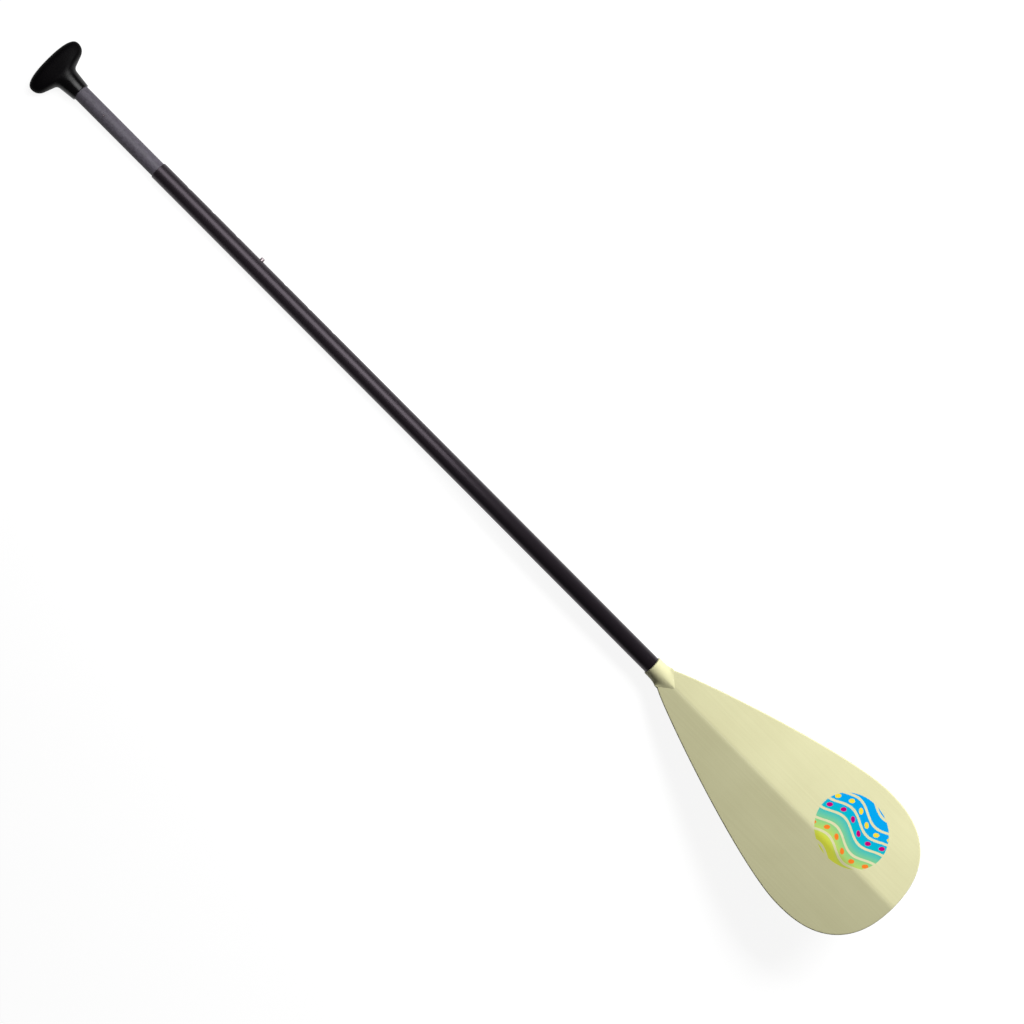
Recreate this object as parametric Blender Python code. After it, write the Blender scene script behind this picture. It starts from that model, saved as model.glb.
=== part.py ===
"""Adjustable stand-up paddleboard paddle, modelled piece by piece.

The paddle is drawn along its shaft: +X runs from the mouth of the lower shaft to the blade,
+Y is the side with the adjustment holes, and +Z is the ridged face of the blade.
The finished paddle lies on a floor at Z = 0, on the back of its neck and of its grip.
"""

from math import cos, pi, radians, sin, sqrt, tan

import bmesh
import bpy
from mathutils import Matrix, Vector

# Clearances between pieces
SLIDE_CLEARANCE = 0.0003      # upper shaft in the bore of the lower shaft, per side
SEAT_CLEARANCE = 0.0003       # plugs, spigots and end faces against what carries them
BUTTON_CLEARANCE = 0.00035    # button in its holes, per side
STOP_CLEARANCE = 0.008        # end plug to the lower seal at the shortest setting

# Lower shaft
LOWER_DIAMETER = 0.0286
LOWER_WALL = 0.0013
LOWER_LENGTH = 1.0656
HOLE_DIAMETER = 0.008
HOLE_SPACING = 0.0508
HOLE_COUNT = 7
HOLE_IN_USE = 4
FIRST_HOLE = 0.0511
MOUTH_CHAMFER = 0.0005

# Upper shaft
UPPER_WALL = 0.0013
GRIP_TO_BUTTON = 0.3655
UPPER_TAIL = 0.075

# Snap button and its spring
BUTTON_PROUD = 0.0045
BUTTON_ROUND = 0.0016
FLANGE_DIAMETER = 0.010
FLANGE_THICKNESS = 0.0015
RIVET_DIAMETER = 0.0032
RIVET_HEAD_DIAMETER = 0.006
RIVET_HEAD_THICKNESS = 0.001
SPRING_WIDTH = 0.009
SPRING_THICKNESS = 0.001
SPRING_BEND_RADIUS = 0.004
SPRING_LEG = 0.046
SPRING_FLAT = 0.007
SPRING_FREE_END = 0.009

# Plugs and float
END_PLUG_INSERT = 0.018
END_PLUG_COLLAR = 0.005
SEAL_LENGTH = 0.025
UPPER_SEAL_AHEAD = 0.012
FLOAT_LENGTH = 0.300
PLUG_CHAMFER = 0.001

# Palm grip
GRIP_WIDTH = 0.0990
GRIP_HEIGHT = 0.0680
GRIP_CROWN = 0.0155
GRIP_LOBE_RADIUS = 0.0145
GRIP_UNDERSIDE_ANGLE = radians(20)
GRIP_STEM_WIDTH = 0.0372
GRIP_RIM_STEP = 0.0023
GRIP_SECTION_POWER = 2.6
GRIP_SPIGOT = 0.070
PIN_DIAMETER = 0.003
PIN_FROM_GRIP = 0.0505
PIN_DEPTH = 0.007
PIN_SINK = 0.0002
PIN_CHAMFER = 0.0003

# Blade
NECK_STEP = 0.0020
NECK_LENGTH = 0.0488
NECK_CHAMFER = 0.0008
BLADE_SPIGOT = 0.060
BLADE_LENGTH = 0.4694
BLADE_WIDTH = 0.2452
BLADE_WIDEST = 0.3437
BLADE_FLANK_LEAD = 0.0967
BLADE_END_POWER = 2.46
BLADE_THICKNESS = 0.004
BLADE_EDGE_ROUND = 0.0017
BLADE_CANT = radians(10)
BLADE_DIHEDRAL = radians(7.5)
RIDGE_HALF_WIDTH = 0.005
ROOT_SETBACK = 0.039
ROOT_INSET = 0.0020
THROAT_SETBACK = 0.0235       # ends of the V behind its point
THROAT_HALF_WIDTH = 0.0200
THROAT_LIP = 0.00015          # neck above the plate where the two meet
THROAT_DIVE = 0.0015          # run in which the neck's skin then goes under the plate's face
SPINE_LENGTH = 0.300
SPINE_BLEND = 0.080
SPINE_END_HALF_WIDTH = 0.009
SPINE_END_SINK = 0.0005

# Fineness of the curves
TUBE_SIDES = 64
BUTTON_SIDES = 24
GRIP_SIDES = 40
NECK_SIDES = 40
FLANK_STEPS = 18
END_STEPS = 16
THROAT_STEPS = 4
SPINE_STEPS = 16
CROWN_STEPS = 9
LOBE_STEPS = 6
STEM_STEPS = 4
BEND_STEPS = 8
RIM_STEPS = 3

# Sizes that follow from the ones above
LOWER_RADIUS = LOWER_DIAMETER / 2
LOWER_BORE = LOWER_RADIUS - LOWER_WALL
UPPER_RADIUS = LOWER_BORE - SLIDE_CLEARANCE
UPPER_BORE = UPPER_RADIUS - UPPER_WALL
HOLE_RADIUS = HOLE_DIAMETER / 2
NECK_RADIUS = LOWER_RADIUS + NECK_STEP
BUTTON_X = FIRST_HOLE + (HOLE_IN_USE - 1) * HOLE_SPACING
GRIP_END_X = BUTTON_X - GRIP_TO_BUTTON
GRIP_TOP_X = GRIP_END_X - GRIP_HEIGHT
UPPER_START_X = GRIP_END_X + SEAT_CLEARANCE
UPPER_END_X = BUTTON_X + UPPER_TAIL
DEEPEST_X = UPPER_END_X + END_PLUG_COLLAR + (HOLE_COUNT - HOLE_IN_USE) * HOLE_SPACING
PIN_X = GRIP_END_X + PIN_FROM_GRIP
NECK_START_X = LOWER_LENGTH + SEAT_CLEARANCE
CREASE_X = LOWER_LENGTH + NECK_LENGTH
RIDGE_STRIPS = [RIDGE_HALF_WIDTH * (1 - i / 3) for i in range(7)]

CREAM = (0.80, 0.77, 0.55)
GLOSS_BLACK = (0.012, 0.010, 0.012)
SLATE_GREY = (0.105, 0.098, 0.118)
GRIP_BLACK = (0.008, 0.008, 0.010)
BARE_METAL = (0.55, 0.53, 0.54)
SPRING_STEEL = (0.45, 0.45, 0.47)
NYLON_BLACK = (0.02, 0.02, 0.02)
SEAL_RUBBER = (0.03, 0.03, 0.03)
FOAM_WHITE = (0.75, 0.75, 0.72)


def clear_scene():
    for old in list(bpy.data.objects):
        bpy.data.objects.remove(old, do_unlink=True)


def make_material(name, colour, roughness, metallic=0.0):
    material = bpy.data.materials.new(name)
    material.use_nodes = True
    shader = material.node_tree.nodes["Principled BSDF"]
    shader.inputs["Base Color"].default_value = (*colour, 1.0)
    shader.inputs["Roughness"].default_value = roughness
    shader.inputs["Metallic"].default_value = metallic
    material.diffuse_color = (*colour, 1.0)
    return material


def add_empty(name, parent=None, location=(0, 0, 0)):
    empty = bpy.data.objects.new(name, None)
    empty.parent = parent
    empty.location = location
    bpy.context.scene.collection.objects.link(empty)
    return empty


def add_piece(name, bm, parent, material=None, location=(0, 0, 0)):
    """Turn a bmesh into a named object with outward faces and smooth round sides."""
    bmesh.ops.recalc_face_normals(bm, faces=bm.faces[:])
    mesh = bpy.data.meshes.new(name)
    bm.to_mesh(mesh)
    bm.free()
    mesh.shade_smooth()
    mesh.set_sharp_from_angle(angle=radians(32))
    piece = bpy.data.objects.new(name, mesh)
    if material:
        mesh.materials.append(material)
    piece.parent = parent
    piece.location = location
    bpy.context.scene.collection.objects.link(piece)
    return piece


def boolean(piece, tool, operation):
    """Cut a tool from a piece, or join it on, and keep the tool itself out of the model."""
    tool.hide_render = True
    tool.display_type = "WIRE"
    modifier = piece.modifiers.new(operation.title() + " " + tool.name, "BOOLEAN")
    modifier.operation = operation
    modifier.object = tool


def skin(bm, rings, closed=False):
    """Join rings of points side by side. An open run gets a flat cap on each end."""
    loops = [[bm.verts.new(point) for point in ring] for ring in rings]
    pairs = list(zip(loops, loops[1:]))
    if closed:
        pairs.append((loops[-1], loops[0]))
    for near, far in pairs:
        for i in range(len(near)):
            j = (i + 1) % len(near)
            bm.faces.new((near[i], near[j], far[j], far[i]))
    if not closed:
        bm.faces.new(reversed(loops[0]))
        bm.faces.new(loops[-1])


def circle(x, radius, sides):
    return [
        Vector((x, radius * cos(2 * pi * i / sides), radius * sin(2 * pi * i / sides)))
        for i in range(sides)
    ]


def turned(profile, sides, closed=False):
    """A turned piece from its (x, radius) profile, about the X axis."""
    bm = bmesh.new()
    skin(bm, [circle(x, radius, sides) for x, radius in profile], closed)
    return bm


def superellipse(t, power):
    """Height of a rounded corner at t, where both run from 0 to 1."""
    return (1 - min(1.0, abs(t)) ** power) ** (1 / power)


def hole_drill(name, places, radius, direction, start, end, parent):
    """Round drills at each x in places, square to the shaft, between two heights."""
    bm = bmesh.new()
    turn = Vector((1, 0, 0)).rotation_difference(direction).to_matrix().to_4x4()
    for x in places:
        rings = [circle(height, radius, BUTTON_SIDES) for height in (start, end)]
        place = Matrix.Translation((x, 0, 0)) @ turn
        skin(bm, [[place @ point for point in ring] for ring in rings])
    return add_piece(name, bm, parent)


def make_lower_shaft(parent):
    bm = turned(
        [
            (0, LOWER_BORE + MOUTH_CHAMFER),
            (0, LOWER_RADIUS - MOUTH_CHAMFER),
            (MOUTH_CHAMFER, LOWER_RADIUS),
            (LOWER_LENGTH, LOWER_RADIUS),
            (LOWER_LENGTH, LOWER_BORE),
            (MOUTH_CHAMFER, LOWER_BORE),
        ],
        TUBE_SIDES,
        closed=True,
    )
    shaft = add_piece("lower_shaft", bm, parent, make_material("gloss black tube", GLOSS_BLACK, 0.22, 0.3))
    places = [FIRST_HOLE + i * HOLE_SPACING for i in range(HOLE_COUNT)]
    side = Vector((0, 1, 0))
    drill = hole_drill("hole drills", places, HOLE_RADIUS, side, LOWER_BORE / 2, LOWER_DIAMETER, parent)
    boolean(shaft, drill, "DIFFERENCE")


def make_upper_shaft(parent):
    bm = turned(
        [
            (UPPER_START_X, UPPER_RADIUS),
            (UPPER_END_X, UPPER_RADIUS),
            (UPPER_END_X, UPPER_BORE),
            (UPPER_START_X, UPPER_BORE),
        ],
        TUBE_SIDES,
        closed=True,
    )
    shaft = add_piece("upper_shaft", bm, parent, make_material("matt grey tube", SLATE_GREY, 0.6, 0.2))
    side = Vector((0, 1, 0))
    front = Vector((0, 0, 1))
    button_hole = button_radius() + BUTTON_CLEARANCE
    drill = hole_drill("button drill", [BUTTON_X], button_hole, side, UPPER_BORE / 2, LOWER_RADIUS, parent)
    boolean(shaft, drill, "DIFFERENCE")
    pin_hole = PIN_DIAMETER / 2 + SEAT_CLEARANCE
    drill = hole_drill("pin drill", [PIN_X], pin_hole, front, UPPER_BORE / 2, LOWER_RADIUS, parent)
    boolean(shaft, drill, "DIFFERENCE")


def button_radius():
    return HOLE_RADIUS - BUTTON_CLEARANCE


def flange_top():
    """Height at which the round flange still clears the curve of the bore."""
    return sqrt(UPPER_BORE**2 - (FLANGE_DIAMETER / 2) ** 2) - SEAT_CLEARANCE


def leaf_top():
    return flange_top() - FLANGE_THICKNESS - SEAT_CLEARANCE


def make_snap_button(parent):
    """Turned button: domed shank, flange under the tube wall, and a riveted tail through the leaf."""
    top = LOWER_RADIUS + BUTTON_PROUD
    radius = button_radius()
    flange = FLANGE_DIAMETER / 2
    head_top = leaf_top() - SPRING_THICKNESS - SEAT_CLEARANCE
    profile = [
        (head_top - RIVET_HEAD_THICKNESS, RIVET_HEAD_DIAMETER / 2),
        (head_top, RIVET_HEAD_DIAMETER / 2),
        (head_top, RIVET_DIAMETER / 2),
        (flange_top() - FLANGE_THICKNESS, RIVET_DIAMETER / 2),
        (flange_top() - FLANGE_THICKNESS, flange),
        (flange_top(), flange),
        (flange_top(), radius),
    ]
    for step in range(4):
        angle = pi / 2 * step / 3
        profile.append((top - BUTTON_ROUND * (1 - sin(angle)), radius - BUTTON_ROUND * (1 - cos(angle))))
    bm = turned(profile, BUTTON_SIDES)
    bm.transform(Matrix.Rotation(pi / 2, 4, "Z"))
    metal = make_material("button metal", BARE_METAL, 0.3, 0.8)
    add_piece("snap_button", bm, parent, metal, (BUTTON_X, 0, 0))


def spring_path():
    """Middle line of the strip: lower leg, bend at the grip end, then the leaf that holds the button."""
    half = SPRING_THICKNESS / 2
    wall_height = sqrt((UPPER_BORE - SEAT_CLEARANCE) ** 2 - (SPRING_WIDTH / 2) ** 2)
    low = half - wall_height
    high = leaf_top() - half
    bend_x = BUTTON_X - SPRING_LEG
    bend_y = low + SPRING_BEND_RADIUS
    path = [Vector((BUTTON_X + SPRING_FREE_END, low, 0))]
    for step in range(BEND_STEPS + 1):
        angle = -pi / 2 - pi * step / BEND_STEPS
        path.append(Vector((bend_x, bend_y, 0)) + SPRING_BEND_RADIUS * Vector((cos(angle), sin(angle), 0)))
    path.append(Vector((BUTTON_X - SPRING_FLAT, high, 0)))
    path.append(Vector((BUTTON_X + SPRING_FREE_END, high, 0)))
    return path


def make_button_spring(parent):
    """Bent strip: the middle line given a thickness to both sides, then a width."""
    path = spring_path()
    near, far = [], []
    for i, point in enumerate(path):
        along = (path[min(i + 1, len(path) - 1)] - path[max(i - 1, 0)]).normalized()
        side = Vector((-along.y, along.x, 0)) * SPRING_THICKNESS / 2
        near.append(point + side)
        far.append(point - side)
    outline = near + far[::-1]
    width = Vector((0, 0, SPRING_WIDTH / 2))
    bm = bmesh.new()
    back = [bm.verts.new(point - width) for point in outline]
    front = [bm.verts.new(point + width) for point in outline]
    last = len(outline) - 1
    for i in range(len(path) - 1):
        bm.faces.new((back[i], back[i + 1], back[last - i - 1], back[last - i]))
        bm.faces.new((front[last - i], front[last - i - 1], front[i + 1], front[i]))
    for i in range(len(outline)):
        j = (i + 1) % len(outline)
        bm.faces.new((back[j], back[i], front[i], front[j]))
    steel = make_material("spring steel", SPRING_STEEL, 0.35, 0.9)
    spring = add_piece("button_spring", bm, parent, steel)
    rivet_hole = RIVET_DIAMETER / 2 + SEAT_CLEARANCE
    drill = hole_drill("rivet drill", [BUTTON_X], rivet_hole, Vector((0, 1, 0)), 0, flange_top(), parent)
    boolean(spring, drill, "DIFFERENCE")


def plug(name, start, end, radius, parent, material):
    """Plain stopper with both ends chamfered."""
    profile = [
        (start, radius - PLUG_CHAMFER),
        (start + PLUG_CHAMFER, radius),
        (end - PLUG_CHAMFER, radius),
        (end, radius - PLUG_CHAMFER),
    ]
    add_piece(name, turned(profile, TUBE_SIDES // 2), parent, material)


def make_end_plug(parent):
    """Plug whose collar is as wide as the upper shaft and runs in the lower bore."""
    insert_radius = UPPER_BORE - SEAT_CLEARANCE
    collar_start = UPPER_END_X + SEAT_CLEARANCE
    profile = [
        (UPPER_END_X - END_PLUG_INSERT, insert_radius - PLUG_CHAMFER),
        (UPPER_END_X - END_PLUG_INSERT + PLUG_CHAMFER, insert_radius),
        (collar_start, insert_radius),
        (collar_start, UPPER_RADIUS),
        (UPPER_END_X + END_PLUG_COLLAR - PLUG_CHAMFER, UPPER_RADIUS),
        (UPPER_END_X + END_PLUG_COLLAR, UPPER_RADIUS - PLUG_CHAMFER),
    ]
    add_piece("end_plug", turned(profile, TUBE_SIDES), parent, make_material("black nylon", NYLON_BLACK, 0.5))


def make_seals_and_float(lower, upper):
    rubber = make_material("seal rubber", SEAL_RUBBER, 0.8)
    spring_start = BUTTON_X - SPRING_LEG - SPRING_BEND_RADIUS
    upper_end = spring_start - UPPER_SEAL_AHEAD
    plug("upper_seal", upper_end - SEAL_LENGTH, upper_end, UPPER_BORE - SEAT_CLEARANCE, upper, rubber)
    lower_start = DEEPEST_X + STOP_CLEARANCE
    lower_end = lower_start + SEAL_LENGTH
    plug("lower_seal", lower_start, lower_end, LOWER_BORE - SEAT_CLEARANCE, lower, rubber.copy())
    foam = make_material("float foam", FOAM_WHITE, 0.9)
    float_end = LOWER_LENGTH - BLADE_SPIGOT - SEAT_CLEARANCE
    plug("lower_float", float_end - FLOAT_LENGTH, float_end, LOWER_BORE - SEAT_CLEARANCE, lower, foam)


def grip_stations():
    """Depth below the crown, half width and half thickness, from the crown to the rim of the stem."""
    half = GRIP_WIDTH / 2
    back = NECK_RADIUS
    rim = UPPER_RADIUS + GRIP_RIM_STEP
    stations = []
    for step in range(1, CROWN_STEPS + 1):
        angle = pi / 2 * step / CROWN_STEPS
        depth = GRIP_CROWN * (1 - cos(angle))
        share = superellipse(1 - depth / GRIP_CROWN, GRIP_SECTION_POWER)
        stations.append((depth, half * share, back * share))
    last_angle = pi / 2 - GRIP_UNDERSIDE_ANGLE
    for step in range(1, LOBE_STEPS + 1):
        angle = last_angle * step / LOBE_STEPS
        depth = GRIP_CROWN + GRIP_LOBE_RADIUS * sin(angle)
        stations.append((depth, half - GRIP_LOBE_RADIUS * (1 - cos(angle)), back))
    stem_half = GRIP_STEM_WIDTH / 2
    lobe_depth, lobe_half, _ = stations[-1]
    stem_depth = lobe_depth + (lobe_half - stem_half) * tan(GRIP_UNDERSIDE_ANGLE)
    for step in (1, 2, 3):
        share = step / 3
        depth = lobe_depth + (stem_depth - lobe_depth) * share
        stations.append((depth, lobe_half + (stem_half - lobe_half) * share, back))
    for step in range(1, STEM_STEPS + 1):
        share = step / STEM_STEPS
        depth = stem_depth + (GRIP_HEIGHT - stem_depth) * share
        width = stem_half + (rim - stem_half) * share
        stations.append((depth, width, min(back, width)))
    return stations


def grip_section(x, half_width, half_thickness, power):
    """Closed section that is round where power is 2 and squarer above it."""
    ring = []
    for i in range(GRIP_SIDES):
        angle = 2 * pi * i / GRIP_SIDES
        across = abs(cos(angle)) ** (2 / power) * (1 if cos(angle) >= 0 else -1)
        through = abs(sin(angle)) ** (2 / power) * (1 if sin(angle) >= 0 else -1)
        ring.append(Vector((x, half_width * across, half_thickness * through)))
    return ring


def make_palm_grip(parent):
    rings = []
    stations = grip_stations()
    for depth, half_width, half_thickness in stations:
        share = (half_width - stations[-1][1]) / (GRIP_WIDTH / 2 - stations[-1][1])
        power = 2 + (GRIP_SECTION_POWER - 2) * max(0, share)
        rings.append(grip_section(GRIP_TOP_X + depth, half_width, half_thickness, power))
    spigot = UPPER_BORE - SEAT_CLEARANCE
    spigot_end = GRIP_END_X + GRIP_SPIGOT
    rings.append(grip_section(GRIP_END_X, spigot, spigot, 2))
    rings.append(grip_section(spigot_end - PLUG_CHAMFER, spigot, spigot, 2))
    rings.append(grip_section(spigot_end, spigot - PLUG_CHAMFER, spigot - PLUG_CHAMFER, 2))
    bm = bmesh.new()
    skin(bm, rings)
    grip = add_piece("palm_grip", bm, parent, make_material("grip plastic", GRIP_BLACK, 0.35))
    pin_hole = PIN_DIAMETER / 2 + SEAT_CLEARANCE
    bottom = UPPER_RADIUS - PIN_DEPTH - SEAT_CLEARANCE
    drill = hole_drill("spigot drill", [PIN_X], pin_hole, Vector((0, 0, 1)), bottom, LOWER_RADIUS, parent)
    boolean(grip, drill, "DIFFERENCE")


def make_grip_pin(parent):
    """Headless pin through the tube wall into the grip's spigot, sunk so that it clears the lower bore."""
    radius = PIN_DIAMETER / 2
    top = UPPER_RADIUS - PIN_SINK
    profile = [
        (UPPER_RADIUS - PIN_DEPTH, radius),
        (top - PIN_CHAMFER, radius),
        (top, radius - PIN_CHAMFER),
    ]
    bm = turned(profile, BUTTON_SIDES)
    bm.transform(Matrix.Translation((PIN_X, 0, 0)) @ Matrix.Rotation(-pi / 2, 4, "Y"))
    add_piece("grip_pin", bm, parent, make_material("pin metal", BARE_METAL, 0.35, 0.8))


def blade_outline():
    """One side of the plate as (along, half width), from the root to where the ridge strip begins."""
    half = BLADE_WIDTH / 2
    root = NECK_RADIUS - ROOT_INSET
    lead = BLADE_WIDEST - BLADE_FLANK_LEAD
    points = []
    for step in range(FLANK_STEPS + 1):
        t = step / FLANK_STEPS
        hold = (1 - t) ** 2 * (1 + 2 * t)
        along = -ROOT_SETBACK * hold + 3 * t * t * (1 - t) * lead + t**3 * BLADE_WIDEST
        points.append((along, root * hold + half * (1 - hold)))
    reach = BLADE_LENGTH - BLADE_WIDEST
    for step in range(1, END_STEPS):
        angle = pi / 2 * step / END_STEPS
        width = half * cos(angle) ** (2 / BLADE_END_POWER)
        if width > 1.2 * RIDGE_HALF_WIDTH:
            points.append((BLADE_WIDEST + reach * sin(angle) ** (2 / BLADE_END_POWER), width))
    return points


def end_of_plate(y):
    """How far the rounded end reaches at a distance y from the ridge."""
    reach = BLADE_LENGTH - BLADE_WIDEST
    return BLADE_WIDEST + reach * superellipse(2 * y / BLADE_WIDTH, BLADE_END_POWER)


def ridge_drop(y):
    """Depth of the face below the ridge: a soft crown in the middle, then two flats."""
    y = abs(y)
    slope = tan(BLADE_DIHEDRAL)
    if y >= RIDGE_HALF_WIDTH:
        return slope * (y - RIDGE_HALF_WIDTH / 2)
    return slope * y * y / RIDGE_HALF_WIDTH / 2


def rim_points():
    """The plate's outline, from one root corner round the end to the other, and its inward normals."""
    side = blade_outline()
    end = [(end_of_plate(y), y) for y in RIDGE_STRIPS]
    points = [Vector(point) for point in side + end + [(x, -y) for x, y in reversed(side)]]
    normals = []
    for i in range(len(points)):
        along = points[min(i + 1, len(points) - 1)] - points[max(i - 1, 0)]
        normals.append(Vector((along.y, -along.x)).normalized())
    return points, normals


def plate_ring(bm, inset, sink):
    """The outline drawn in by an inset, at a depth below the ridged face, with its root closed."""
    points, normals = rim_points()
    drawn_in = [point + normal * inset for point, normal in zip(points, normals)]
    root = [Vector((-ROOT_SETBACK, y)) for y in reversed(RIDGE_STRIPS)]
    return [bm.verts.new((p.x, p.y, -ridge_drop(p.y) - sink)) for p in drawn_in + root]


def plate_face(bm, ring, front):
    """Two flats and the narrow strips of the ridge between them."""
    count = len(RIDGE_STRIPS)
    side = (len(ring) - 2 * count) // 2
    end = ring[side : side + count]
    root = ring[len(ring) - count :][::-1]
    faces = [[root[0], *ring[: side + 1]]]
    faces.append([*ring[side + count - 1 : len(ring) - count + 1]])
    for i in range(count - 1):
        faces.append([root[i + 1], root[i], end[i], end[i + 1]])
    for corners in faces:
        bm.faces.new(corners if front else corners[::-1])


def make_plate(parent):
    """Bent plate: two flats joined by a crowned ridge, given a thickness and a rounded rim."""
    corner = []
    for step in range(RIM_STEPS + 1):
        angle = pi / 2 * step / RIM_STEPS
        corner.append((BLADE_EDGE_ROUND * (1 - sin(angle)), BLADE_EDGE_ROUND * (1 - cos(angle))))
    levels = corner + [(inset, BLADE_THICKNESS - sink) for inset, sink in reversed(corner)]
    bm = bmesh.new()
    rings = [plate_ring(bm, inset, sink) for inset, sink in levels]
    for near, far in zip(rings, rings[1:]):
        for i in range(len(near)):
            j = (i + 1) % len(near)
            bm.faces.new((near[j], near[i], far[i], far[j]))
    plate_face(bm, rings[0], True)
    plate_face(bm, rings[-1], False)
    lean = Matrix.Translation((CREASE_X, 0, NECK_RADIUS)) @ Matrix.Rotation(-BLADE_CANT, 4, "Y")
    bm.transform(lean)
    return add_piece("blade", bm, parent, make_material("cream plastic", CREAM, 0.45))


def plate_middle(x, y):
    """Height of the plate's middle layer above the shaft's axis."""
    front = NECK_RADIUS + (x - CREASE_X) * tan(BLADE_CANT) - ridge_drop(y) / cos(BLADE_CANT)
    return front - BLADE_THICKNESS / 2


def spine_keel(x):
    """Height of the spine's lowest line: level under the neck, then eased onto the plate's back."""
    t = max(0.0, (x - CREASE_X) / SPINE_LENGTH)
    end_x = CREASE_X + SPINE_LENGTH
    end_height = plate_middle(end_x, 0) - BLADE_THICKNESS / 2 + SPINE_END_SINK
    start_share = (1 - t) ** 2 * (1 + 2 * t)
    end_slope = tan(BLADE_CANT) * SPINE_LENGTH
    return -NECK_RADIUS * start_share + end_height * (1 - start_share) + end_slope * t * t * (t - 1)


def throat_x(angle):
    """Where the neck ends round its section: along a V on the ridged face, and straight underneath."""
    share = abs(cos(angle)) if sin(angle) > 0 else 1
    return CREASE_X - THROAT_SETBACK * share


def neck_point(share, angle):
    """Skin of the neck, from a circle where share is 0 to the V of the throat where it is 1."""
    start = NECK_START_X + NECK_CHAMFER
    end = throat_x(angle)
    round_y = NECK_RADIUS * cos(angle)
    round_z = NECK_RADIUS * sin(angle)
    throat_y = THROAT_HALF_WIDTH * cos(angle)
    if sin(angle) > 0:
        cover = (BLADE_THICKNESS / 2 + THROAT_LIP) * (1 - (1 - sin(angle)) ** 4)
        throat_z = plate_middle(end, throat_y) + cover
    else:
        side = plate_middle(end, THROAT_HALF_WIDTH)
        throat_z = side + (side + NECK_RADIUS) * sin(angle)
    y = round_y + (throat_y - round_y) * share**2
    z = round_z + (throat_z - round_z) * share * (2 - share)
    return Vector((start + (end - start) * share, y, z))


def spine_point(share, angle):
    """Skin of the spine: hidden in the plate above, and a belly that turns into a bell below."""
    start = throat_x(angle) + THROAT_DIVE
    x = start + (CREASE_X + SPINE_LENGTH - start) * share
    ahead = x - CREASE_X + THROAT_SETBACK
    narrowing = (SPINE_END_HALF_WIDTH - THROAT_HALF_WIDTH) * ahead / (SPINE_LENGTH + THROAT_SETBACK)
    half = THROAT_HALF_WIDTH + narrowing
    y = half * cos(angle)
    middle = plate_middle(x, y)
    if sin(angle) > 0:
        return Vector((x, y, middle + BLADE_THICKNESS / 4 * sin(angle)))
    side = plate_middle(x, half)
    keel = spine_keel(x)
    belly = side + (side - keel) * sin(angle)
    bell = middle - (plate_middle(x, 0) - keel) * cos(pi / 2 * cos(angle)) ** 2
    blend = min(1, ahead / (SPINE_BLEND + THROAT_SETBACK))
    return Vector((x, y, belly + (bell - belly) * blend * blend * (3 - 2 * blend)))


def make_neck(parent):
    """Spigot, neck and tapering spine in one run of closed rings."""
    spigot = LOWER_BORE - SEAT_CLEARANCE
    spigot_start = LOWER_LENGTH - BLADE_SPIGOT
    rings = [
        circle(spigot_start, spigot - PLUG_CHAMFER, NECK_SIDES),
        circle(spigot_start + PLUG_CHAMFER, spigot, NECK_SIDES),
        circle(NECK_START_X, spigot, NECK_SIDES),
        circle(NECK_START_X, NECK_RADIUS - NECK_CHAMFER, NECK_SIDES),
        circle(NECK_START_X + NECK_CHAMFER, NECK_RADIUS, NECK_SIDES),
    ]
    angles = [2 * pi * i / NECK_SIDES for i in range(NECK_SIDES)]
    for step in range(1, THROAT_STEPS + 1):
        rings.append([neck_point(step / THROAT_STEPS, angle) for angle in angles])
    for step in range(SPINE_STEPS + 1):
        rings.append([spine_point(step / SPINE_STEPS, angle) for angle in angles])
    bm = bmesh.new()
    skin(bm, rings)
    return add_piece("neck and spine", bm, parent)


def make_blade(parent):
    blade = make_plate(parent)
    boolean(blade, make_neck(parent), "UNION")


def lay_on_floor(frame):
    """Centre the finished paddle over the origin, with its lowest line on the floor."""
    bpy.context.view_layer.update()
    depsgraph = bpy.context.evaluated_depsgraph_get()
    corners = []
    for piece in bpy.data.objects:
        if piece.type == "MESH" and not piece.hide_render:
            shown = piece.evaluated_get(depsgraph)
            corners += [shown.matrix_world @ Vector(corner) for corner in shown.bound_box]
    low_x = min(corner.x for corner in corners)
    high_x = max(corner.x for corner in corners)
    low_z = min(corner.z for corner in corners)
    frame.location = (-(low_x + high_x) / 2, 0, -low_z)


def build_paddle():
    clear_scene()
    frame = add_empty("paddle frame")
    slide = add_empty("slide axis", frame)
    make_lower_shaft(frame)
    make_blade(frame)
    make_upper_shaft(slide)
    make_palm_grip(slide)
    make_grip_pin(slide)
    make_button_spring(slide)
    make_snap_button(slide)
    make_end_plug(slide)
    make_seals_and_float(frame, slide)
    lay_on_floor(frame)


build_paddle()
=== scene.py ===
# %% [markdown]
# # A stand-up paddle for the studio
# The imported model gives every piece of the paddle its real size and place. This lesson dresses it:
# it builds finer pieces over the plain solids, gives each one its finish, and lights the whole
# from above. The model could be imported and painted as it is, but its round pieces have few
# faces, so whatever shows from outside is drawn again from the same rules with many more.

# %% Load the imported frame
from math import copysign, cos, pi, radians, sin, sqrt, tan

import bmesh
import bpy
from mathutils import Matrix, Vector
from mathutils.geometry import interpolate_bezier


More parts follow.
